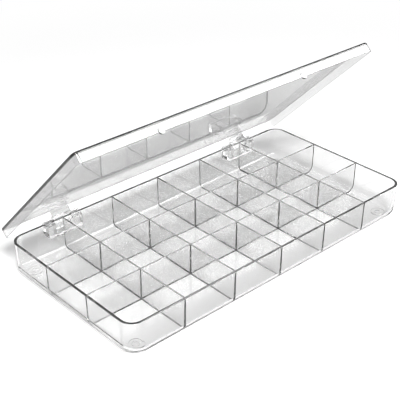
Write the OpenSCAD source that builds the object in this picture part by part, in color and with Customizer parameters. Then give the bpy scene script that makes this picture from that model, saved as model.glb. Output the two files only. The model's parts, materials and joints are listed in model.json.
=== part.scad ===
// Hinged clear sorting tray: a shallow box with a grid of square compartments,
// and a shallow lid that turns on two snap-in hinges along the back.
// Millimetres, +Z up. The origin is under the middle of the tray, on the plane
// that its ring feet stand on. +X runs along the hinges, -Y is the front.

/* [Compartments] */
// Number of compartments from left to right
columns = 6; // [6:1:8]
// Number of compartments from front to back
rows = 3; // [3:1:4]
// Clear width of a compartment, left to right
cell_w = 32.9; // [24:0.1:44]
// Clear depth of a compartment, front to back
cell_d = 32.8; // [24:0.1:44]
// Depth of a compartment
cell_h = 18.6; // [16:0.2:30]
// Thickness of a divider at its top edge
divider_top_t = 1; // [0.8:0.1:1.2]
// Thickness of a divider where it meets the floor
divider_foot_t = 1.4; // [1.2:0.1:2]

/* [Tray shell] */
// Thickness of the outer walls
wall_t = 1.5; // [1.4:0.1:2.2]
// Thickness of the floor
floor_t = 1.4; // [1.2:0.1:2.4]
// Radius of the upright corners of the tray, outside
corner_r = 8; // [7:0.5:12]
// Radius of the bottom edge, outside
base_edge_r = 3; // [2:0.25:3.5]
// Radius between the floor and the outer walls, inside
floor_edge_r = 2; // [1:0.25:2.5]
// How far the outer walls lean out from the floor to the rim
wall_lean = 0.5; // [0.2:0.1:0.8]
// Depth that the lid laps over the rim
lap_h = 2.4; // [1.6:0.1:3]
// Width of the ledge outside the rim, under the lap of the lid
ledge_w = 0.65; // [0.5:0.05:0.75]

/* [Feet] */
// Height of the ring feet
foot_h = 0.8; // [0.4:0.1:2]
// Outside diameter of a ring foot
foot_d = 8; // [6:0.5:9]
// Diameter of the hollow in a ring foot
foot_hollow_d = 4; // [2:0.5:5]
// Distance from the side walls to the middle of a foot
foot_inset_x = 10.4; // [9:0.2:14]
// Distance from the front and rear walls to the middle of a foot
foot_inset_y = 9.4; // [9:0.2:14]

/* [Lid] */
// Angle of the lid above its closed place
lid_angle = 45.2; // [0:0.2:175]
// Thickness of the lid panel
panel_t = 1.4; // [1:0.1:2]
// Height of the lid from the free edge of its skirt to its top
lid_h = 6.1; // [6:0.1:9]
// Thickness of the lid skirt
skirt_t = 1; // [0.9:0.05:1.2]
// Radius of the upright corners of the lid, outside
lid_corner_r = 3; // [2:0.5:7]
// Radius of the top edge of the lid
lid_edge_r = 0.6; // [0.3:0.1:0.8]
// Gap between the lid skirt and the rim and ledge that it laps
lap_gap = 0.3; // [0.25:0.05:0.5]

/* [Hinges] */
// Distance from a side wall to the middle of a hinge, before the shift
hinge_inset = 34.6; // [20:0.2:45]
// How far both hinges sit to the right of the middle
hinge_shift = 2; // [0:0.2:6]
// Diameter of the hinge pins
pin_d = 2.2; // [1.6:0.1:2.6]
// Gap all round a hinge pin in its bore
pin_gap = 0.05; // [0.02:0.01:0.1]
// Wall of an ear around its bore
ear_wall = 1.05; // [0.9:0.05:1.4]
// Width of one ear
ear_w = 5; // [3:0.1:8]
// Width of the lid knuckle between the ears
knuckle_w = 12; // [8:0.2:16]
// Gap on each side of a knuckle, and at each pin end
knuckle_gap = 0.4; // [0.3:0.05:0.6]
// Gap between the lid skirt and the round of an ear
ear_gap = 0.4; // [0.3:0.05:0.6]
// Depth of the pin axis below the rim
pin_below_rim = 3.1; // [3:0.1:4]
// Height of a hinge bracket from its lower edge to the pin axis
bracket_drop = 7.6; // [7.2:0.1:9]
// Thickness of the web that joins the two ears of a bracket
web_t = 1.4; // [1:0.1:1.8]
// Radius of the lower corners of a bracket
bracket_corner_r = 1.6; // [0.8:0.1:2.4]
// Height of the lid skirt that a knuckle arm covers
arm_h = 5.2; // [2.4:0.1:5.2]

/* [Thumb nubs] */
// Place of the left nub, as a share of the way from the middle to the side wall
nub_left_share = 0.53; // [0.2:0.01:0.8]
// Place of the right nub, as a share of the way from the middle to the side wall
nub_right_share = 0.44; // [0.2:0.01:0.8]
// Width of a thumb nub
nub_w = 4; // [3:0.2:8]
// How far a thumb nub stands out from the lid skirt
nub_proud = 0.6; // [0.4:0.05:1.2]
// How far a thumb nub reaches below the lid skirt
nub_reach = 1.3; // [0.8:0.1:2]

/* [Hidden] */
$fn = 48;
tray_tint = [0.9, 0.92, 0.93, 0.4];
lid_tint = [0.86, 0.9, 0.92, 0.4];
// How far a cutting shape runs past the faces it cuts
over = 4;

// Heights of the tray
floor_z = foot_h + floor_t;
rim_z = floor_z + cell_h;
ledge_z = rim_z - lap_h - lap_gap;
wall_slope = wall_lean / (rim_z - foot_h);
// Divider pitch, and half the outside of the tray at its rim
divider_t = (divider_top_t + divider_foot_t) / 2;
pitch_x = cell_w + divider_t;
pitch_y = cell_d + divider_t;
half_x = (columns * pitch_x - divider_t) / 2 + wall_t;
half_y = (rows * pitch_y - divider_t) / 2 + wall_t;
// Lid in its closed place
skirt_out = skirt_t + lap_gap - ledge_w;
lid_half_x = half_x + skirt_out;
lid_half_y = half_y + skirt_out;
skirt_z = rim_z - lap_h;
lid_top_z = skirt_z + lid_h;
panel_z = lid_top_z - panel_t;
// Hinge axis
ear_r = pin_d / 2 + pin_gap + ear_wall;
axis_y = lid_half_y + ear_gap + ear_r;
axis_z = rim_z - pin_below_rim;
hinge_left_x = hinge_shift - half_x + hinge_inset;
hinge_right_x = hinge_shift + half_x - hinge_inset;
slot_w = knuckle_w + 2 * knuckle_gap;
bracket_w = slot_w + 2 * ear_w;

// Section of one side of a leaning wall from the middle outwards. The arc of its lower
// edge runs into the wall and into the underside with no corner.
module side_section(reach, low_z, top_z, edge_r, slope) {
    top_x = reach + slope * (top_z - rim_z);
    bend_x = reach + slope * (low_z + edge_r - rim_z);
    intersection() {
        union() {
            polygon([
                [0, low_z], [bend_x - edge_r, low_z],
                [bend_x, low_z + edge_r], [top_x, top_z], [0, top_z]
            ]);
            translate([bend_x - edge_r, low_z + edge_r]) circle(edge_r);
        }
        translate([0, low_z]) square([reach + over, top_z - low_z]);
    }
}

// The same section on both sides of the middle
module whole_section(reach, low_z, top_z, edge_r, slope) {
    side_section(reach, low_z, top_z, edge_r, slope);
    mirror([1, 0]) side_section(reach, low_z, top_z, edge_r, slope);
}

// Solid box with round corners, a round lower edge and leaning walls
module round_box(reach_x, reach_y, corner, low_z, top_z, edge_r, slope) {
    run_x = reach_x - corner;
    run_y = reach_y - corner;
    for (side_x = [-1, 1], side_y = [-1, 1]) {
        translate([side_x * run_x, side_y * run_y, 0])
            rotate_extrude() side_section(corner, low_z, top_z, edge_r, slope);
    }
    translate([0, run_y, 0]) rotate([90, 0, 0])
        linear_extrude(2 * run_y) whole_section(reach_x, low_z, top_z, edge_r, slope);
    translate([-run_x, 0, 0]) rotate([90, 0, 90])
        linear_extrude(2 * run_x) whole_section(reach_y, low_z, top_z, edge_r, slope);
}

// Upright plate with round corners
module round_plate(reach_x, reach_y, corner, low_z, top_z) {
    translate([0, 0, low_z]) linear_extrude(top_z - low_z) {
        for (side_x = [-1, 1], side_y = [-1, 1]) {
            translate([side_x * (reach_x - corner), side_y * (reach_y - corner)]) circle(corner);
        }
        square([2 * (reach_x - corner), 2 * reach_y], center = true);
        square([2 * reach_x, 2 * (reach_y - corner)], center = true);
    }
}

// Level slab wide enough to split the tray
module slab(low_z, top_z) {
    translate([-half_x - over, -half_y - over, low_z])
        cube([2 * (half_x + over), 2 * (half_y + over), top_z - low_z]);
}

// Tray ---------------------------------------------------------------------------

module tray_outside() {
    round_box(half_x, half_y, corner_r, foot_h, ledge_z, base_edge_r, wall_slope);
    round_box(
        half_x - ledge_w, half_y - ledge_w, corner_r - ledge_w,
        floor_z, rim_z, floor_edge_r, wall_slope
    );
}

module tray_inside(top_z) {
    round_box(
        half_x - wall_t, half_y - wall_t, corner_r - wall_t,
        floor_z, top_z, floor_edge_r, wall_slope
    );
}

module tray_floor() {
    color(tray_tint) intersection() {
        round_box(half_x, half_y, corner_r, foot_h, ledge_z, base_edge_r, wall_slope);
        slab(foot_h, floor_z);
    }
}

module tray_walls() {
    color(tray_tint) difference() {
        tray_outside();
        tray_inside(rim_z + over);
        slab(foot_h - over, floor_z);
    }
}

// Section of a divider, thinner towards the top
module divider_section() {
    polygon([
        [-divider_foot_t / 2, floor_z], [divider_foot_t / 2, floor_z],
        [divider_top_t / 2, rim_z], [-divider_top_t / 2, rim_z]
    ]);
}

// Divider plate that runs from left to right between the side walls
module long_divider(row) {
    intersection() {
        translate([-half_x, (row - rows / 2) * pitch_y, 0]) rotate([90, 0, 90])
            linear_extrude(2 * half_x) divider_section();
        tray_inside(rim_z);
    }
}

// Divider pieces that run from front to back between the long dividers
module cross_divider(column) {
    if (column < columns) {
        color(tray_tint) difference() {
            intersection() {
                translate([(column - columns / 2) * pitch_x, half_y, 0]) rotate([90, 0, 0])
                    linear_extrude(2 * half_y) divider_section();
                tray_inside(rim_z);
            }
            for (row = [1 : rows - 1]) long_divider(row);
        }
    }
}

module long_divider_front() {
    color(tray_tint) long_divider(1);
}

module long_divider_rear() {
    color(tray_tint) for (row = [2 : 1 : rows - 1]) long_divider(row);
}

module cross_divider_1() {
    cross_divider(1);
}

module cross_divider_2() {
    cross_divider(2);
}

module cross_divider_3() {
    cross_divider(3);
}

module cross_divider_4() {
    cross_divider(4);
}

module cross_divider_5() {
    color(tray_tint) for (column = [5 : 1 : columns - 1]) cross_divider(column);
}

// Ring foot under one corner of the floor
module foot(side_x, side_y) {
    foot_x = half_x - foot_inset_x;
    foot_y = half_y - foot_inset_y;
    color(tray_tint) translate([side_x * foot_x, side_y * foot_y, 0]) difference() {
        cylinder(d = foot_d, h = foot_h);
        translate([0, 0, -over]) cylinder(d = foot_hollow_d, h = foot_h + 2 * over);
    }
}

module foot_front_left() {
    foot(-1, -1);
}

module foot_front_right() {
    foot(1, -1);
}

module foot_rear_left() {
    foot(-1, 1);
}

module foot_rear_right() {
    foot(1, 1);
}

// Front view of a bracket: upright sides and round lower corners
module bracket_outline() {
    low = axis_z - bracket_drop;
    translate([-bracket_w / 2, low + bracket_corner_r])
        square([bracket_w, bracket_drop + ear_r - bracket_corner_r]);
    translate([-bracket_w / 2 + bracket_corner_r, low])
        square([bracket_w - 2 * bracket_corner_r, bracket_corner_r + 1]);
    for (side = [-1, 1]) {
        translate([side * (bracket_w / 2 - bracket_corner_r), low + bracket_corner_r])
            circle(bracket_corner_r);
    }
}

// Side view of a bracket: a round ear that stands on a block against the wall
module bracket_side() {
    translate([axis_y, axis_z]) circle(ear_r);
    translate([axis_y - ear_r, ledge_z - 1]) square([2 * ear_r, axis_z - ledge_z + 1]);
    translate([half_y - wall_t, axis_z - bracket_drop])
        square([axis_y + ear_r - half_y + wall_t, ledge_z - axis_z + bracket_drop]);
}

// Pair of bored ears on a web, grown on the rear wall of the tray
module hinge_bracket(hinge_x) {
    color(tray_tint) difference() {
        intersection() {
            translate([hinge_x, half_y + 20, 0]) rotate([90, 0, 0])
                linear_extrude(20 + wall_t) bracket_outline();
            translate([hinge_x - bracket_w / 2 - 1, 0, 0]) rotate([90, 0, 90])
                linear_extrude(bracket_w + 2) bracket_side();
        }
        tray_outside();
        translate([hinge_x - slot_w / 2, half_y - over, axis_z - bracket_drop + web_t])
            cube([slot_w, 20, bracket_drop + ear_r + over]);
        translate([hinge_x - bracket_w, axis_y, axis_z]) rotate([0, 90, 0])
            cylinder(r = pin_d / 2 + pin_gap, h = 2 * bracket_w);
    }
}

module hinge_bracket_left() {
    hinge_bracket(hinge_left_x);
}

module hinge_bracket_right() {
    hinge_bracket(hinge_right_x);
}

// Lid ----------------------------------------------------------------------------

// Turns a closed lid part about the hinge axis to the angle of the lid
module opened() {
    translate([0, axis_y, axis_z]) rotate([-lid_angle, 0, 0]) translate([0, -axis_y, -axis_z]) children();
}

module lid_panel() {
    color(lid_tint) opened() intersection() {
        translate([0, 0, lid_top_z]) mirror([0, 0, 1])
            round_box(lid_half_x, lid_half_y, lid_corner_r, 0, lid_h, lid_edge_r, 0);
        translate([0, 0, panel_z]) linear_extrude(panel_t + 1)
            square([2 * lid_half_x + over, 2 * lid_half_y + over], center = true);
    }
}

module lid_skirt() {
    color(lid_tint) opened() difference() {
        round_plate(lid_half_x, lid_half_y, lid_corner_r, skirt_z, panel_z);
        round_plate(
            lid_half_x - skirt_t, lid_half_y - skirt_t, lid_corner_r - skirt_t,
            skirt_z - over, panel_z + over
        );
    }
}

// Side view of a knuckle: a round on the pin axis with an arm to the lid skirt
module knuckle_side() {
    circle(ear_r);
    polygon([
        [-ear_gap - ear_r, skirt_z - axis_z], [-ear_gap - ear_r, skirt_z - axis_z + arm_h],
        [0, ear_r], [0, 0], [-ear_r, 0]
    ]);
}

// Knuckle on the lid skirt with a stub pin on each side
module hinge_knuckle(hinge_x) {
    pin_run = knuckle_w + 2 * (ear_w - knuckle_gap);
    color(lid_tint) opened() translate([hinge_x, axis_y, axis_z]) rotate([90, 0, 90]) {
        linear_extrude(knuckle_w, center = true) knuckle_side();
        cylinder(d = pin_d, h = pin_run, center = true);
    }
}

module hinge_knuckle_left() {
    hinge_knuckle(hinge_left_x);
}

module hinge_knuckle_right() {
    hinge_knuckle(hinge_right_x);
}

// Half-round nub on the free edge of the front of the lid
module thumb_nub(nub_x) {
    nub_back_y = -half_y - lap_gap;
    nub_z = skirt_z - nub_reach + nub_w / 2;
    color(lid_tint) opened() difference() {
        translate([nub_x, nub_back_y, nub_z])
            rotate([90, 0, 0]) cylinder(d = nub_w, h = skirt_out - lap_gap + nub_proud);
        round_plate(lid_half_x, lid_half_y, lid_corner_r, skirt_z, panel_z);
    }
}

module thumb_nub_left() {
    thumb_nub(-nub_left_share * half_x);
}

module thumb_nub_right() {
    thumb_nub(nub_right_share * half_x);
}

tray_floor();
tray_walls();
long_divider_front();
long_divider_rear();
cross_divider_1();
cross_divider_2();
cross_divider_3();
cross_divider_4();
cross_divider_5();
foot_front_left();
foot_front_right();
foot_rear_left();
foot_rear_right();
hinge_bracket_left();
hinge_bracket_right();
lid_panel();
lid_skirt();
hinge_knuckle_left();
hinge_knuckle_right();
thumb_nub_left();
thumb_nub_right();
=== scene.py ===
# %% [markdown]
# # A clear sorting tray with a hinged lid
# The real box is two mouldings of clear polystyrene: a tray with eighteen compartments
# and a shallow lid. Clear plastic only looks right when each moulding is one closed skin
# with air on one side and plastic on the other, because light bends at every face it
# meets. So the tray is a block with its compartments cut out and its feet and brackets
# joined on, the lid is a shallow cap with its knuckles and nubs joined on, and each of the
# two takes the place of its construction solids.

# %% Load the construction model
import json
import math

import bmesh
import bpy
from mathutils import Euler, Matrix, Vector

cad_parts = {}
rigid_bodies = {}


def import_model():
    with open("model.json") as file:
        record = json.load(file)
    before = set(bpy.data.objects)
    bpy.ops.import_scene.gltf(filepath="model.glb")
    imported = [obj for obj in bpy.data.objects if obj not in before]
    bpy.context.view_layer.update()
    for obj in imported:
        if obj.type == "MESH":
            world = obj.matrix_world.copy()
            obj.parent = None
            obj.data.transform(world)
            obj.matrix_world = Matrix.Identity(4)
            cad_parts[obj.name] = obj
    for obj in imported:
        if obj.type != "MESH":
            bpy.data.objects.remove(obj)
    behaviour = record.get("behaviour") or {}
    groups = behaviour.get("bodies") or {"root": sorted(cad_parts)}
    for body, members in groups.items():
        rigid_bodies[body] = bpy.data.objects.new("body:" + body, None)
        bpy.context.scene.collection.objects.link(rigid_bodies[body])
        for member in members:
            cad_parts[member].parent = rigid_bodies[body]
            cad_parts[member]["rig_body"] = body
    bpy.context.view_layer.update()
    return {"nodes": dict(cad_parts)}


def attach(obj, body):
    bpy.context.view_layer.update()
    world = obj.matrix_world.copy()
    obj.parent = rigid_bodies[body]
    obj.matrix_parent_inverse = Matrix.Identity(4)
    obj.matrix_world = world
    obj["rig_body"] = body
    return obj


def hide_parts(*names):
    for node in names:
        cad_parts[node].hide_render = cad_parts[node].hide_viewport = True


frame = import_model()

# %% [markdown]
# ## Camera
# The camera comes first, so that every later step can be judged in the same picture.
# A long lens from the front left, 30 degrees above the table, looks down into the tray.
# A camera could be aimed with a Track To constraint. Two angles and a small roll are used
# here because they stay the same numbers when the camera moves nearer or further away.

# %% Place the camera
MM = 0.001
CAMERA_PLACE = (-311.4, -327.8, 289.5)
CAMERA_AZIMUTH = math.radians(-42.42)
CAMERA_ELEVATION = math.radians(30.14)
CAMERA_ROLL = math.radians(0.07)
LENS_MM, SENSOR_MM = 84.24, 36.0
NEAREST_M = 0.01

camera_data = bpy.data.cameras.new("tray_camera")
camera_data.lens = LENS_MM
camera_data.sensor_width = SENSOR_MM
camera_data.clip_start = NEAREST_M
camera = bpy.data.objects.new("tray_camera", camera_data)
bpy.context.scene.collection.objects.link(camera)
aim = Euler((math.pi / 2 - CAMERA_ELEVATION, 0, CAMERA_AZIMUTH)).to_matrix()
camera.rotation_euler = (aim @ Matrix.Rotation(CAMERA_ROLL, 3, "Z")).to_euler()
camera.location = Vector(CAMERA_PLACE) * MM
bpy.context.scene.camera = camera
print("camera stands at", [round(v, 4) for v in camera.location])

# %% [markdown]
# ## Sizes
# All sizes are in millimetres. Heights, pitches, thicknesses and the hinge are those of the
# construction model, so that both skins stay where their solids are. Four values are not,
# for the sake of the look. HALF_X and HALF_Y give the tray one straight wall as wide as the
# widest place of its solids, which have a ledge and a narrower lip for the lid to lap. The
# skirt is thinner and the top edge of the lid is rounder, which keeps their lines fine.

# %% Name the sizes of the box
HALF_X, HALF_Y = 103.13, 51.83
FOOT_H = 0.8
FLOOR_Z = 2.2
RIM_Z = 20.8
WALL_T = 1.5
WALL_LEAN = 0.5
CORNER_R = 8.0
COLUMNS, ROWS = 6, 3
PITCH_X, PITCH_Y = 34.1, 34.0
DIVIDER_TOP_T, DIVIDER_FOOT_T = 1.0, 1.4
LID_HALF_X, LID_HALF_Y = 103.85, 52.55
SKIRT_Z, PANEL_Z, LID_TOP_Z = 18.4, 23.1, 24.5
SKIRT_T = 0.5
LID_CORNER_R, LID_EDGE_R = 3.0, 1.1
AXIS_Y, AXIS_Z = 55.15, 17.7
EAR_R, PIN_R, BORE_R = 2.2, 1.1, 1.15
EAR_W, KNUCKLE_W, SLOT_W = 5.0, 12.0, 12.8
HINGE_PLACES = (-66.6, 70.6)
BRACKET_DROP, WEB_T = 7.6, 1.4
LID_ANGLE = math.radians(45.2)
print("tray is", 2 * HALF_X, "x", 2 * HALF_Y, "mm, rim at", RIM_Z, "mm")

# %% [markdown]
# ## Helpers for modelling
# An operator works on whatever is selected, and the loaded construction model starts out
# selected. So the first helper clears the selection, and the others choose faces, edges
# or points by where they are.

# %% Helpers that start a piece and choose its parts
NEAR_MM, CLOSE_MM = 0.01, 0.1


def clear_selection():
    """Leaves edit mode and deselects every object."""
    if bpy.context.object and bpy.context.object.mode == "EDIT":
        bpy.ops.object.mode_set(mode="OBJECT")
    bpy.ops.object.select_all(action="DESELECT")


def name_new(name):
    """Names the object that was just added and puts its place into its mesh."""
    piece = bpy.context.object
    piece.name = piece.data.name = name
    bpy.ops.object.transform_apply(location=True, rotation=True, scale=True)
    return piece


def add_block(name, low, high):
    """A block between two corners, in millimetres."""
    clear_selection()
    bpy.ops.mesh.primitive_cube_add(size=1)
    piece = bpy.context.object
    piece.location = (Vector(low) + Vector(high)) / 2 * MM
    piece.scale = (Vector(high) - Vector(low)) * MM
    return name_new(name)


def add_round(name, centre, radius, length, along, sides=48):
    """A round bar about a centre, along X, Y or Z, in millimetres."""
    turn = {"X": (0, math.pi / 2, 0), "Y": (math.pi / 2, 0, 0), "Z": (0, 0, 0)}[along]
    clear_selection()
    bpy.ops.mesh.primitive_cylinder_add(
        vertices=sides, radius=radius * MM, depth=length * MM,
        location=Vector(centre) * MM, rotation=turn,
    )
    return name_new(name)


def edit(piece):
    """Opens one piece in edit mode with nothing selected."""
    clear_selection()
    piece.select_set(True)
    bpy.context.view_layer.objects.active = piece
    bpy.ops.object.mode_set(mode="EDIT")
    bpy.ops.mesh.select_all(action="DESELECT")


def choose(kind, test):
    """Selects the points, edges or faces of the open piece that pass a test on their place."""
    bpy.ops.mesh.select_mode(type=kind)
    bpy.ops.mesh.select_all(action="DESELECT")
    mesh = bmesh.from_edit_mesh(bpy.context.object.data)
    for part in {"VERT": mesh.verts, "EDGE": mesh.edges, "FACE": mesh.faces}[kind]:
        if kind == "VERT":
            passes = test(part.co / MM)
        elif kind == "EDGE":
            ends = [v.co / MM for v in part.verts]
            passes = test((ends[0] + ends[1]) / 2, ends[1] - ends[0])
        else:
            passes = test(part.calc_center_median() / MM, part.normal)
        if passes:
            part.select_set(True)
    mesh.select_flush_mode()
    bmesh.update_edit_mesh(bpy.context.object.data)


def round_chosen(radius, steps):
    """Rounds the chosen edges."""
    bpy.ops.mesh.bevel(offset=radius * MM, segments=steps, affect="EDGES", clamp_overlap=True)


def upright(middle, run):
    """True for an edge that stands up, even if its wall leans a little."""
    return abs(run.z) > 0.5 and abs(run.x) + abs(run.y) < 0.5 * abs(run.z)


def underside(middle, normal):
    """True for a face that points down."""
    return normal.z < -0.9


def level_at(z):
    """A test for level edges at one height."""
    return lambda middle, run: abs(middle.z - z) < NEAR_MM and abs(run.z) < NEAR_MM


def close_piece(piece):
    """Leaves edit mode."""
    bpy.ops.object.mode_set(mode="OBJECT")
    print(piece.name, "has", len(piece.data.polygons), "faces")


def join_pieces(pieces, name):
    """Makes several pieces one object, without merging their surfaces."""
    clear_selection()
    for piece in pieces:
        piece.select_set(True)
    bpy.context.view_layer.objects.active = pieces[0]
    if len(pieces) > 1:
        bpy.ops.object.join()
    pieces[0].name = pieces[0].data.name = name
    return pieces[0]


def combine(piece, other, how):
    """Adds the other piece to this one or cuts it away, then deletes it."""
    clear_selection()
    piece.select_set(True)
    bpy.context.view_layer.objects.active = piece
    modifier = piece.modifiers.new("combine", "BOOLEAN")
    modifier.operation = how
    modifier.solver = "EXACT"
    modifier.object = other
    bpy.ops.object.modifier_apply(modifier=modifier.name)
    bpy.data.objects.remove(other, do_unlink=True)


def copies_at(piece, places):
    """The piece moved to the first place, and copies with meshes of their own at the others."""
    copies = [piece]
    for place in places[1:]:
        twin = piece.copy()
        twin.data = piece.data.copy()
        twin.name = twin.data.name = piece.name + "_copy"
        bpy.context.scene.collection.objects.link(twin)
        copies.append(twin)
    for twin, place in zip(copies, places):
        edit(twin)
        bpy.ops.mesh.select_all(action="SELECT")
        bpy.ops.transform.translate(value=Vector(place) * MM)
        close_piece(twin)
    return copies


# %% [markdown]
# ## Walls that follow a profile
# A mould maker draws a tray as an outline and a wall profile: how far each wall stands in
# at each height. The same two drawings make the mesh here. The outline starts as a plane
# with its corners rounded, and every level of the profile is one extrude and one resize.
# A bevel on a finished block could not give the end walls a larger fillet than the others.

# %% Helpers that raise or sink an outline along a profile
LEAST_MOVE_MM, LEAST_STEP_MM = 1e-6, 0.04


def add_outline(name, low, high, z, corners):
    """A flat outline at one height. corners gives a radius and steps for chosen corners."""
    clear_selection()
    bpy.ops.mesh.primitive_plane_add(size=1)
    piece = bpy.context.object
    piece.location = ((low[0] + high[0]) / 2 * MM, (low[1] + high[1]) / 2 * MM, z * MM)
    piece.scale = ((high[0] - low[0]) * MM, (high[1] - low[1]) * MM, 1)
    name_new(name)
    edit(piece)
    for at_corner, radius, steps in corners:
        choose("VERT", at_corner)
        bpy.ops.mesh.bevel(offset=radius * MM, segments=steps, affect="VERTICES")
    choose("FACE", lambda middle, normal: True)
    return piece


def follow_profile(low, high, z, levels):
    """Extrudes the chosen face from level to level. A level is its height and four insets."""
    low, high = list(low), list(high)
    before = (0, 0, 0, 0)
    for next_z, insets in levels:
        bpy.ops.mesh.extrude_region_move(
            TRANSFORM_OT_translate={"value": (0, 0, (next_z - z) * MM)}
        )
        factor, still = [1, 1, 1], [0, 0, next_z * MM]
        for axis in (0, 1):
            move_low = insets[2 * axis] - before[2 * axis]
            move_high = insets[2 * axis + 1] - before[2 * axis + 1]
            width = high[axis] - low[axis]
            if abs(move_low + move_high) > LEAST_MOVE_MM:
                factor[axis] = 1 - (move_low + move_high) / width
                still[axis] = (low[axis] + width * move_low / (move_low + move_high)) * MM
            low[axis] += move_low
            high[axis] -= move_high
        bpy.ops.transform.resize(value=factor, center_override=still)
        z, before = next_z, insets


def fillet_in(z, floor, radius):
    """How far a fillet of one radius stands out from its wall at one height."""
    rise = z - floor
    if rise >= radius:
        return 0
    return radius - math.sqrt(radius**2 - (radius - rise) ** 2)


def fillet_heights(floor, radii, steps):
    """Heights at which the fillets of these radii are drawn, from the top down."""
    heights = {floor}
    for radius in radii:
        for step in range(1, steps + 1):
            heights.add(round(floor + radius * (1 - math.cos(math.pi / 2 * step / steps)), 2))
    kept = []
    for height in sorted(heights, reverse=True):
        if not kept or kept[-1] - height > LEAST_STEP_MM or height == floor:
            kept.append(height)
    return kept


# %% [markdown]
# ## The outside of the tray
# The walls lean out a little so that the tray leaves the mould, and the lid laps over the
# top of them. The end walls turn into the floor with a larger round than the front and
# rear walls. The outline starts at the rim and is extruded downwards, so the last face
# that the profile leaves is the underside of the floor.

# %% Shape the outside of the tray
TOP_ROUND = 0.18
TOP_ROUND_TURNS = (30, 60, 90)
END_ROUND_R, SIDE_ROUND_R, EDGE_ROUND_STEPS = 4.6, 3.0, 7
CORNER_STEPS = 16


def lean_at(z):
    """How far the wall stands in from its place at the rim, at one height."""
    return WALL_LEAN * (RIM_Z - z) / (RIM_Z - FOOT_H)


def top_round_levels(side):
    """Levels of the fine round at the rim. side is -1 on the outside and 1 in a pocket."""
    levels = []
    for turn in TOP_ROUND_TURNS:
        drop = TOP_ROUND * (1 - math.cos(math.radians(turn)))
        inset = side * TOP_ROUND * math.sin(math.radians(turn))
        levels.append((RIM_Z - drop, (inset,) * 4))
    return levels


top_low = (-HALF_X + TOP_ROUND, -HALF_Y + TOP_ROUND)
top_high = (HALF_X - TOP_ROUND, HALF_Y - TOP_ROUND)
every_corner = [(lambda place: True, CORNER_R, CORNER_STEPS)]
tray = add_outline("tray", top_low, top_high, RIM_Z, every_corner)
levels = top_round_levels(-1)
for z in fillet_heights(FOOT_H, (END_ROUND_R, SIDE_ROUND_R), EDGE_ROUND_STEPS):
    end = lean_at(z) + fillet_in(z, FOOT_H, END_ROUND_R) - TOP_ROUND
    side = lean_at(z) + fillet_in(z, FOOT_H, SIDE_ROUND_R) - TOP_ROUND
    levels.append((z, (end, end, side, side)))
follow_profile(top_low, top_high, RIM_Z, levels)
bpy.ops.mesh.select_all(action="SELECT")
bpy.ops.mesh.normals_make_consistent(inside=False)
close_piece(tray)

# %% [markdown]
# ## The compartments
# Eighteen pockets are cut from the block. Each pocket is the shape of the air inside a
# compartment: narrower at the floor, with a fillet where the walls meet the floor and where
# they meet each other, and with a flared mouth that leaves the top of every divider rounded.
# The fillets are what catches the lamp in bright lines. They are larger along the outer
# walls than in the construction model, and its dividers have none. The four corner pockets
# have one large upright round. Separate plates could be joined instead, but pockets cut
# from a block leave no seam inside the clear plastic.

# %% Shape one pocket of air
ABOVE_RIM = 3.0
WALL_SIDE_LEAN = lean_at(FLOOR_Z)
DIVIDER_SIDE_LEAN = (DIVIDER_FOOT_T - DIVIDER_TOP_T) / 2
UPRIGHT_FILLET_R, UPRIGHT_STEPS = 0.12, 4
DIVIDER_FILLET_R, SIDE_FILLET_R, END_FILLET_R = 0.35, 2.2, 4.6
FLOOR_FILLET_STEPS, POCKET_CORNER_STEPS = 6, 12


def pocket_sides(count, index, pitch, half, wall_fillet):
    """The two sides of a pocket at the rim, with how far each leans in and its fillet."""
    low = (index - count / 2) * pitch + DIVIDER_TOP_T / 2
    high = (index + 1 - count / 2) * pitch - DIVIDER_TOP_T / 2
    shapes = [(DIVIDER_SIDE_LEAN, DIVIDER_FILLET_R), (DIVIDER_SIDE_LEAN, DIVIDER_FILLET_R)]
    if index == 0:
        low, shapes[0] = -half + WALL_T, (WALL_SIDE_LEAN, wall_fillet)
    if index == count - 1:
        high, shapes[1] = half - WALL_T, (WALL_SIDE_LEAN, wall_fillet)
    return low, high, shapes


def add_pocket(column, row):
    """The air of one compartment."""
    left, right, ends = pocket_sides(COLUMNS, column, PITCH_X, HALF_X, END_FILLET_R)
    front, rear, sides = pocket_sides(ROWS, row, PITCH_Y, HALF_Y, SIDE_FILLET_R)
    tray_corner = None
    if column in (0, COLUMNS - 1) and row in (0, ROWS - 1):
        tray_corner = (left if column == 0 else right, front if row == 0 else rear)

    def at_tray_corner(place):
        return tray_corner is not None and (
            abs(place.x - tray_corner[0]) + abs(place.y - tray_corner[1]) < CLOSE_MM
        )

    low, high = (left, front), (right, rear)
    mouth_z = RIM_Z + ABOVE_RIM
    pocket = add_outline("pocket", low, high, mouth_z, [
        (lambda place: not at_tray_corner(place), UPRIGHT_FILLET_R, UPRIGHT_STEPS),
        (at_tray_corner, CORNER_R - WALL_T, POCKET_CORNER_STEPS),
    ])
    wider = [(high[axis] - low[axis] + 2 * TOP_ROUND) / (high[axis] - low[axis])
             for axis in (0, 1)]
    middle = ((left + right) / 2 * MM, (front + rear) / 2 * MM, mouth_z * MM)
    bpy.ops.transform.resize(value=(*wider, 1), center_override=middle)
    levels = [(RIM_Z, (0,) * 4)] + top_round_levels(1)
    radii = {radius for lean, radius in ends + sides}
    for z in fillet_heights(FLOOR_Z, radii, FLOOR_FILLET_STEPS):
        share = (RIM_Z - z) / (RIM_Z - FLOOR_Z)
        levels.append((z, tuple(
            TOP_ROUND + lean * share + fillet_in(z, FLOOR_Z, radius)
            for lean, radius in ends + sides
        )))
    follow_profile(
        (left - TOP_ROUND, front - TOP_ROUND), (right + TOP_ROUND, rear + TOP_ROUND),
        mouth_z, levels,
    )
    bpy.ops.mesh.select_all(action="SELECT")
    bpy.ops.mesh.normals_make_consistent(inside=False)
    bpy.ops.object.mode_set(mode="OBJECT")
    return pocket


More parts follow.
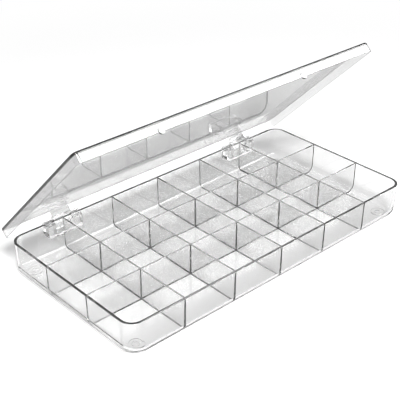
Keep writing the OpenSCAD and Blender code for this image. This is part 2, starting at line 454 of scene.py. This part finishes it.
# %% [markdown]
# The pockets never touch each other, so they can be joined as loose shapes and cut away in
# one go. Eighteen cuts in turn would give the same tray.

# %% Cut all eighteen pockets
pockets = [add_pocket(column, row) for row in range(ROWS) for column in range(COLUMNS)]
print(len(pockets), "pockets, one has", len(pockets[0].data.polygons), "faces")
combine(tray, join_pieces(pockets, "pockets"), "DIFFERENCE")
print("tray with compartments:", len(tray.data.polygons), "faces")

# %% [markdown]
# ## Ring feet
# Each corner stands on a short ring. A ring could be cut from a tube, but an inset and an
# extrude on a low round keep it one closed shape that joins the floor cleanly. It reaches
# a little into the floor, so that the two surfaces cross and don't just touch.

# %% Shape one ring foot and copy it to the corners
FOOT_PLACE = (92.8, 42.5)
FOOT_R, FOOT_HOLLOW_R = 4.0, 2.0
FOOT_ROUND_R, FOOT_ROUND_STEPS = 0.7, 5
EMBED = 0.3

foot = add_round("foot", (0, 0, (FOOT_H + EMBED) / 2), FOOT_R, FOOT_H + EMBED, "Z")
edit(foot)
choose("FACE", underside)
bpy.ops.mesh.inset(thickness=(FOOT_R - FOOT_HOLLOW_R) * MM)
bpy.ops.mesh.extrude_region_move(TRANSFORM_OT_translate={"value": (0, 0, FOOT_H * MM)})
choose("EDGE", level_at(0))
round_chosen(FOOT_ROUND_R, FOOT_ROUND_STEPS)
close_piece(foot)
feet = copies_at(foot, [
    (side_x * FOOT_PLACE[0], side_y * FOOT_PLACE[1], 0)
    for side_x in (-1, 1) for side_y in (-1, 1)
])

# %% [markdown]
# ## Hinge brackets
# Each bracket is a pair of bored ears that grow from the rear wall and are joined by a web
# underneath. It is built as a solid first, then the gap for the knuckle and the bore for the
# pins are cut through it, as the slides of the mould would.

# %% Shape one hinge bracket
BRACKET_HALF_W = SLOT_W / 2 + EAR_W
BRACKET_CORNER_R, BRACKET_CORNER_STEPS = 1.6, 5
BRACKET_LOW_Z = AXIS_Z - BRACKET_DROP
BRACKET_TOP_Z = 18.05
BRACKET_ROOT = 0.8
GAP_ROOT, GAP_PAST = 3.0, 5.0
BORE_RUN = 40.0

bracket = add_block(
    "bracket",
    (-BRACKET_HALF_W, HALF_Y - BRACKET_ROOT, BRACKET_LOW_Z),
    (BRACKET_HALF_W, AXIS_Y + EAR_R, BRACKET_TOP_Z),
)
edit(bracket)
choose("EDGE", lambda middle, run: abs(run.y) > CLOSE_MM and middle.z < BRACKET_LOW_Z + CLOSE_MM)
round_chosen(BRACKET_CORNER_R, BRACKET_CORNER_STEPS)
close_piece(bracket)
ears = add_round("ears", (0, AXIS_Y, AXIS_Z), EAR_R, 2 * BRACKET_HALF_W, "X")
combine(bracket, ears, "UNION")
knuckle_gap = add_block(
    "knuckle_gap",
    (-SLOT_W / 2, HALF_Y - GAP_ROOT, BRACKET_LOW_Z + WEB_T),
    (SLOT_W / 2, AXIS_Y + GAP_PAST, AXIS_Z + GAP_PAST),
)
combine(bracket, knuckle_gap, "DIFFERENCE")
bore = add_round("bore", (0, AXIS_Y, AXIS_Z), BORE_R, BORE_RUN, "X")
combine(bracket, bore, "DIFFERENCE")
brackets = copies_at(bracket, [(place, 0, 0) for place in HINGE_PLACES])

# %% [markdown]
# The real tray leaves the mould with its feet and ears on it. A union makes them one skin
# here too, because a hidden wall between two clear shapes would show as a dark line.

# %% Join feet and brackets to the tray
combine(tray, join_pieces(feet + brackets, "additions"), "UNION")
print("tray joined:", len(tray.data.polygons), "faces")

# %% [markdown]
# ## The lid
# The lid is modelled closed, level over the tray, where its sizes are easy to read. An inset
# and an extrude turn the block into a shallow cap. Solidify on an open shell would also
# give walls, but not a panel and a skirt of two thicknesses. It is swung open once its
# knuckles and nubs are on it.

# %% Shape the closed lid
LID_CORNER_STEPS, LID_EDGE_STEPS = 10, 4
LID_INSIDE_R, LID_INSIDE_STEPS = 0.5, 3
SKIRT_ROUND_R, SKIRT_ROUND_STEPS = 0.2, 2

lid = add_block("lid", (-LID_HALF_X, -LID_HALF_Y, SKIRT_Z), (LID_HALF_X, LID_HALF_Y, LID_TOP_Z))
edit(lid)
choose("EDGE", upright)
round_chosen(LID_CORNER_R, LID_CORNER_STEPS)
choose("EDGE", level_at(LID_TOP_Z))
round_chosen(LID_EDGE_R, LID_EDGE_STEPS)
choose("FACE", underside)
bpy.ops.mesh.inset(thickness=SKIRT_T * MM)
bpy.ops.mesh.extrude_region_move(
    TRANSFORM_OT_translate={"value": (0, 0, (PANEL_Z - SKIRT_Z) * MM)}
)
choose("EDGE", level_at(PANEL_Z))
round_chosen(LID_INSIDE_R, LID_INSIDE_STEPS)
choose("EDGE", level_at(SKIRT_Z))
round_chosen(SKIRT_ROUND_R, SKIRT_ROUND_STEPS)
close_piece(lid)

# %% [markdown]
# ## Knuckles
# A knuckle is a round on the pin axis with an arm to the skirt and a stub pin on each side.
# The arm starts as a block whose outer end is then pulled to the height of the round. The
# top of it stays a hair under the round, since faces that lie in each other cut badly.

# %% Shape one knuckle with its arm and pins
ARM_H, ARM_ROOT, ARM_UNDER_ROUND = 5.2, 0.3, 0.02
ARM_TOP_Z = SKIRT_Z + ARM_H
PIN_RUN, PIN_SIDES = 21.2, 32
PIN_ROUND_R, PIN_ROUND_STEPS = 0.3, 2

knuckle = add_round("knuckle", (0, AXIS_Y, AXIS_Z), EAR_R, KNUCKLE_W, "X")
arm = add_block(
    "arm",
    (-KNUCKLE_W / 2, LID_HALF_Y - ARM_ROOT, SKIRT_Z),
    (KNUCKLE_W / 2, AXIS_Y, ARM_TOP_Z),
)
edit(arm)
choose("VERT", lambda place: place.y > AXIS_Y - CLOSE_MM and place.z > ARM_TOP_Z - CLOSE_MM)
bpy.ops.transform.translate(
    value=(0, 0, (AXIS_Z + EAR_R - ARM_UNDER_ROUND - ARM_TOP_Z) * MM)
)
choose("VERT", lambda place: place.y > AXIS_Y - CLOSE_MM and place.z < SKIRT_Z + CLOSE_MM)
bpy.ops.transform.translate(value=(0, 0, (AXIS_Z - SKIRT_Z) * MM))
close_piece(arm)
combine(knuckle, arm, "UNION")
pins = add_round("pins", (0, AXIS_Y, AXIS_Z), PIN_R, PIN_RUN, "X", sides=PIN_SIDES)
edit(pins)
choose("EDGE", lambda middle, run: abs(abs(middle.x) - PIN_RUN / 2) < NEAR_MM)
round_chosen(PIN_ROUND_R, PIN_ROUND_STEPS)
close_piece(pins)
combine(knuckle, pins, "UNION")

# %% [markdown]
# ## Thumb nubs
# Two half-round tabs on the free edge at the front give a thumb something to lift. Each is
# a short round bar set into the skirt: it stands out in front and hangs a little below, and
# its outer edge is eased. It stops short of the tray wall, so that the lid stays free.

# %% Shape one nub
NUB_PLACES = (-54.7, 45.4)
NUB_R, NUB_REACH, NUB_PROUD = 2.0, 1.3, 0.6
NUB_FREE = 0.3
NUB_ROUND_R, NUB_ROUND_STEPS = 0.25, 3

nub_thick = NUB_PROUD + LID_HALF_Y - HALF_Y - NUB_FREE
nub = add_round(
    "nub",
    (0, -LID_HALF_Y - NUB_PROUD + nub_thick / 2, SKIRT_Z - NUB_REACH + NUB_R),
    NUB_R, nub_thick, "Y",
)
edit(nub)
choose("EDGE", lambda middle, run: middle.y < -LID_HALF_Y - NUB_PROUD + NEAR_MM)
round_chosen(NUB_ROUND_R, NUB_ROUND_STEPS)
close_piece(nub)

# %% [markdown]
# The two knuckles are alike, and so are the two nubs, so each was made once and is copied
# now. A union then makes them one skin with the lid, as it did on the tray.

# %% Copy knuckles and nubs to their places and join them to the lid
trims = copies_at(knuckle, [(place, 0, 0) for place in HINGE_PLACES])
trims += copies_at(nub, [(place, 0, 0) for place in NUB_PLACES])
combine(lid, join_pieces(trims, "lid_additions"), "UNION")
print("lid joined:", len(lid.data.polygons), "faces")

# %% [markdown]
# ## Swing the lid open
# The lid turns about the pin axis. The operator turns the other way when there is no window.

# %% Turn the lid about its pins
edit(lid)
bpy.ops.mesh.select_all(action="SELECT")
bpy.ops.transform.rotate(
    value=LID_ANGLE, orient_axis="X",
    center_override=(0, AXIS_Y * MM, AXIS_Z * MM),
)
close_piece(lid)

# %% [markdown]
# ## Clean surfaces
# Cutting and joining leaves doubled points along the seams. They are merged, the faces are
# made to point outwards, and the shading is weighted by face area, so that large flat walls
# stay flat and only the rounded edges shade smoothly.

# %% Merge, check and smooth both mouldings
MERGE_MM = 0.002
SMOOTH_BELOW = math.radians(35)
AREA_WEIGHT = 80


def finish_moulding(piece):
    """Merges doubles, points faces outwards and smooths the rounded edges."""
    edit(piece)
    bpy.ops.mesh.select_all(action="SELECT")
    bpy.ops.mesh.remove_doubles(threshold=MERGE_MM * MM)
    bpy.ops.mesh.dissolve_degenerate(threshold=MERGE_MM * MM)
    bpy.ops.mesh.select_all(action="SELECT")
    bpy.ops.mesh.normals_make_consistent(inside=False)
    bpy.ops.object.mode_set(mode="OBJECT")
    bpy.ops.object.shade_smooth_by_angle(angle=SMOOTH_BELOW)
    weighted = piece.modifiers.new("weighted", "WEIGHTED_NORMAL")
    weighted.keep_sharp = True
    weighted.weight = AREA_WEIGHT
    bpy.ops.object.modifier_apply(modifier=weighted.name)
    shape = bmesh.new()
    shape.from_mesh(piece.data)
    open_edges = sum(1 for edge in shape.edges if len(edge.link_faces) != 2)
    volume = round(shape.calc_volume() / MM**3)
    print(piece.name, "open edges:", open_edges, "volume, mm3:", volume)
    shape.free()


for moulding in (tray, lid):
    finish_moulding(moulding)

# %% [markdown]
# ## Clear polystyrene
# Crystal polystyrene is the clear, brittle plastic of cheap boxes. It is injection moulded
# against polished steel, so its surface is glossy, with a slight flow waviness and a fine
# haze from handling. Its index of refraction is 1.59, more than that of window glass, and it
# gives the edges their strong dark and bright lines.

# %% One colour function and one node function
def linear(code):
    """An sRGB hex colour as linear values."""
    parts = [int(code[i:i + 2], 16) / 255 for i in (1, 3, 5)]
    return [v / 12.92 if v <= 0.04045 else ((v + 0.055) / 1.055) ** 2.4 for v in parts] + [1]


def add_node(tree, kind, settings=None, **links):
    """A node with its settings. Inputs are set or linked by name, or by number as n0, n1."""
    node = tree.nodes.new(kind)
    for name, value in (settings or {}).items():
        setattr(node, name, value)
    for name, value in links.items():
        numbered = name[0] == "n" and name[1:].isdigit()
        socket = node.inputs[int(name[1:]) if numbered else name.replace("_", " ")]
        if isinstance(value, bpy.types.NodeSocket):
            tree.links.new(value, socket)
        else:
            socket.default_value = value
    return node


# %% [markdown]
# Some of this material is not how plastic works, but helps the look. Light on its way to
# the table goes straight through, as if the plastic bent nothing, because soft shadows
# through bent paths take far too long to come clean. Each face takes a part of that light,
# more where it is crossed at a glancing angle, and the share says how much is left at the
# flattest one. A real face leaves nothing there, and neither does the lid. The tray leaves
# more, or its many walls would add up to too dark a shadow.
# There is a price. Light that isn't bent on its way in meets the far face at too flat an
# angle, and beyond 39 degrees from straight on that face counts as a full mirror and leaves
# only the share. So the table under a lid that lies level gets less than a third of the
# light that it should, and the shadow there is too dark.
# A coat that bends nothing lays a faint grey tint on every face. This is painted shade: it greys
# all that the plastic lets through or mirrors, in place of a table in shade and darker
# surroundings.
# Real haze is finer than this. It is drawn in patches of some millimetres so that it shows.

# %% Make the clear polystyrene
POLYSTYRENE_IOR = 1.59
FLOW_WAVE_MM, FLOW_DETAIL = 14.0, 2.0
FLOW_DEPTH_M, FLOW_STRENGTH = 0.0003, 0.05
HAZE_PATCH_MM, HAZE_DETAIL = 6.0, 3.0
HAZE_FROM, HAZE_TO = 0.35, 0.75
ROUGH_LEAST, ROUGH_MOST = 0.001, 0.012
INSIDE_COLOUR, ABSORPTION_PER_M = "#D8D8D8", 30.0


def clear_polystyrene(name, tint, grazing_share, painted_shade_film):
    """Glossy clear polystyrene with a slight waviness and haze, which lets lamps through."""
    material = bpy.data.materials.new(name)
    material.use_nodes = True
    tree = material.node_tree
    tree.nodes.clear()
    place = add_node(tree, "ShaderNodeTexCoord").outputs["Object"]
    wave = add_node(
        tree, "ShaderNodeTexNoise", Vector=place, Scale=1 / (FLOW_WAVE_MM * MM), Detail=FLOW_DETAIL
    )
    haze = add_node(
        tree, "ShaderNodeTexNoise", Vector=place, Scale=1 / (HAZE_PATCH_MM * MM), Detail=HAZE_DETAIL
    )
    rough = add_node(
        tree, "ShaderNodeMapRange", Value=haze.outputs["Fac"],
        From_Min=HAZE_FROM, From_Max=HAZE_TO, To_Min=ROUGH_LEAST, To_Max=ROUGH_MOST,
    )
    bump = add_node(
        tree, "ShaderNodeBump", Height=wave.outputs["Fac"],
        Strength=FLOW_STRENGTH, Distance=FLOW_DEPTH_M,
    )
    # The coat's tint is painted shade, a grey laid over all that the plastic shows.
    shader = add_node(
        tree, "ShaderNodeBsdfPrincipled", Base_Color=linear(tint), IOR=POLYSTYRENE_IOR,
        Roughness=rough.outputs["Result"], Normal=bump.outputs["Normal"],
        Transmission_Weight=1.0, Coat_Weight=1.0, Coat_IOR=1.0, Coat_Tint=linear(painted_shade_film),
    )
    surface = shader.outputs["BSDF"]
    ray = add_node(tree, "ShaderNodeLightPath")
    loss = add_node(tree, "ShaderNodeFresnel", IOR=POLYSTYRENE_IOR)
    kept = add_node(
        tree, "ShaderNodeMapRange", Value=loss.outputs["Fac"],
        From_Min=0.0, From_Max=1.0, To_Min=1.0, To_Max=grazing_share,
    )
    passing = add_node(tree, "ShaderNodeBsdfTransparent", Color=kept.outputs["Result"])
    for kind in ("Is Diffuse Ray", "Is Shadow Ray"):
        mix = add_node(tree, "ShaderNodeMixShader", n0=ray.outputs[kind])
        tree.links.new(surface, mix.inputs[1])
        tree.links.new(passing.outputs[0], mix.inputs[2])
        surface = mix.outputs[0]
    inside = add_node(
        tree, "ShaderNodeVolumeAbsorption", Color=linear(INSIDE_COLOUR), Density=ABSORPTION_PER_M
    )
    out = add_node(tree, "ShaderNodeOutputMaterial")
    tree.links.new(surface, out.inputs["Surface"])
    tree.links.new(inside.outputs[0], out.inputs["Volume"])
    return material


# Tray and lid are one plastic. The lid's grey coat of painted shade is stronger, and it lets less
# glancing light by.
tray_plastic = clear_polystyrene("clear_polystyrene_moulded_tray", "#FCFCFC", 0.7, "#FCFCFC")
lid_plastic = clear_polystyrene("clear_polystyrene_moulded_lid", "#FCFCFC", 0.0, "#F9F9F9")
print("plastics:", tray_plastic.name, "and", lid_plastic.name)

# %% [markdown]
# ## Bodies
# The tray stands still and the lid turns on the hinge. Each moulding rides on its body and
# takes the place of every node that the construction model has on that body.

# %% Dress the mouldings and hang them on the frame
BODY_NODES = {}
for node_name, node_object in frame["nodes"].items():
    BODY_NODES.setdefault(node_object["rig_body"], []).append(node_name)
for moulding, body, plastic in ((tray, "tray", tray_plastic), (lid, "lid", lid_plastic)):
    moulding.data.materials.clear()
    moulding.data.materials.append(plastic)
    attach(moulding, body)
    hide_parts(*BODY_NODES[body])
print("replaced nodes:", BODY_NODES)

# %% [markdown]
# ## Table
# A pale matt table takes the shadows. Away from the tray it turns into a plain white
# backdrop, for the camera and for whatever the plastic mirrors or lets through. The lamps
# are not turned up for it.

# %% Build the table
TABLE_COLOUR, BACKDROP_COLOUR = "#F7F7F7", "#FFFFFF"
TABLE_SIZE_M = 6.0
FADE_START_M, FADE_END_M = 0.2, 0.45


def seen_directly(tree):
    """One for rays that come from the camera, a reflection or through the plastic."""
    ray = add_node(tree, "ShaderNodeLightPath")
    seen = ray.outputs["Is Camera Ray"]
    for kind in ("Is Glossy Ray", "Is Transmission Ray"):
        either = add_node(
            tree, "ShaderNodeMath", {"operation": "MAXIMUM"}, n0=seen, n1=ray.outputs[kind]
        )
        seen = either.outputs[0]
    return seen


clear_selection()
bpy.ops.mesh.primitive_plane_add(size=TABLE_SIZE_M, location=(0, 0, 0))
table = name_new("table")
table_material = bpy.data.materials.new("pale_matt_table")
table_material.use_nodes = True
tree = table_material.node_tree
tree.nodes.clear()
place = add_node(tree, "ShaderNodeTexCoord").outputs["Object"]
away = add_node(tree, "ShaderNodeVectorMath", {"operation": "LENGTH"}, n0=place)
fade = add_node(
    tree, "ShaderNodeMapRange", {"interpolation_type": "SMOOTHSTEP"},
    Value=away.outputs["Value"],
    From_Min=FADE_START_M, From_Max=FADE_END_M, To_Min=0.0, To_Max=1.0,
)
amount = add_node(
    tree, "ShaderNodeMath", {"operation": "MULTIPLY"},
    n0=fade.outputs["Result"], n1=seen_directly(tree),
)
matt = add_node(tree, "ShaderNodeBsdfDiffuse", Color=linear(TABLE_COLOUR))
backdrop = add_node(tree, "ShaderNodeEmission", Color=linear(BACKDROP_COLOUR), Strength=1.0)
mix = add_node(tree, "ShaderNodeMixShader", n0=amount.outputs[0])
tree.links.new(matt.outputs[0], mix.inputs[1])
tree.links.new(backdrop.outputs[0], mix.inputs[2])
out = add_node(tree, "ShaderNodeOutputMaterial")
tree.links.new(mix.outputs[0], out.inputs["Surface"])
table.data.materials.append(table_material)
print("table:", TABLE_SIZE_M, "m square, plain white from", FADE_END_M, "m out")

# %% [markdown]
# ## Sky
# A plain sky lights the table from all sides, less from overhead than from the horizon. To
# the camera, in reflections and through the plastic it is plain white, as the backdrop is.
# A picture of a studio could take its place, but a gradient needs no file.

# %% Light the world
SKY_COLOUR = "#FFFFFF"
SKY_TOP, SKY_HORIZON, SKY_SEEN = 0.34, 0.72, 1.0
SKY_LOW, SKY_HIGH = 0.1, 0.9

world = bpy.data.worlds.new("studio")
bpy.context.scene.world = world
world.use_nodes = True
tree = world.node_tree
tree.nodes.clear()
way = add_node(tree, "ShaderNodeTexCoord").outputs["Generated"]
height = add_node(tree, "ShaderNodeSeparateXYZ", Vector=way).outputs["Z"]
level = add_node(
    tree, "ShaderNodeMapRange", Value=height,
    From_Min=SKY_LOW, From_Max=SKY_HIGH, To_Min=SKY_HORIZON, To_Max=SKY_TOP,
)
strength = add_node(
    tree, "ShaderNodeMapRange", Value=seen_directly(tree),
    To_Min=level.outputs["Result"], To_Max=SKY_SEEN,
)
sky = add_node(
    tree, "ShaderNodeBackground", Color=linear(SKY_COLOUR), Strength=strength.outputs["Result"]
)
out = add_node(tree, "ShaderNodeOutputWorld")
tree.links.new(sky.outputs[0], out.inputs["Surface"])
print("sky strength:", SKY_HORIZON, "at the horizon and", SKY_TOP, "overhead")

# %% [markdown]
# ## Lamps
# The key lamp at the front left stands a little above the plane of the open lid. Nearly all
# of its light for the compartments comes in under the lid's free edge, so it is the walls
# and dividers that shade them, and the lid's shadow falls on the table behind the tray.
# Clear plastic shows little of its own, so a large second lamp at the front right is there
# only to be mirrored. It makes the front and rear walls of the lid shine, brightens most of
# the other plastic too, and adds nothing to the bare table.

# %% Place the two lamps
KEY_WAY, KEY_AWAY_M, KEY_SIZE_M, KEY_POWER = (-0.30, -0.58, 0.76), 1.2, 0.35, 20.0
SHEEN_WAY, SHEEN_AWAY_M, SHEEN_SIZE_M, SHEEN_POWER = (0.58, -0.49, 0.65), 1.0, 0.7, 14.0


def add_softbox(name, direction, distance, size, power):
    """A square soft lamp that looks at the middle of the tray, in metres and watts."""
    data = bpy.data.lights.new(name, "AREA")
    data.shape = "SQUARE"
    data.size = size
    data.energy = power
    lamp = bpy.data.objects.new(name, data)
    way = Vector(direction).normalized()
    lamp.location = way * distance
    lamp.rotation_euler = way.to_track_quat("Z", "Y").to_euler()
    lamp.visible_camera = False
    bpy.context.scene.collection.objects.link(lamp)
    return lamp


add_softbox("front_left_key", KEY_WAY, KEY_AWAY_M, KEY_SIZE_M, KEY_POWER)
sheen = add_softbox("front_right_sheen", SHEEN_WAY, SHEEN_AWAY_M, SHEEN_SIZE_M, SHEEN_POWER)
sheen.visible_diffuse = False

# %% [markdown]
# ## Paths of light
# A look across the box can cross about twenty faces of clear plastic. With Blender's usual
# limit on bounces the light would run out on the way and leave black patches, so the limits
# are raised. Every pixel gets its full number of samples, and a slightly narrower pixel
# filter keeps the thin lines crisp.

# %% Let light cross every wall
CLEAR_BOUNCES, MIRROR_BOUNCES = 40, 16
PIXEL_FILTER_WIDTH = 1.2

scene = bpy.context.scene
scene.view_settings.view_transform = "Standard"
scene.cycles.max_bounces = CLEAR_BOUNCES
scene.cycles.transmission_bounces = CLEAR_BOUNCES
scene.cycles.glossy_bounces = MIRROR_BOUNCES
scene.cycles.transparent_max_bounces = CLEAR_BOUNCES
scene.cycles.use_adaptive_sampling = False
scene.cycles.filter_width = PIXEL_FILTER_WIDTH
print("light may bounce", scene.cycles.max_bounces, "times, filter", PIXEL_FILTER_WIDTH, "pixels")
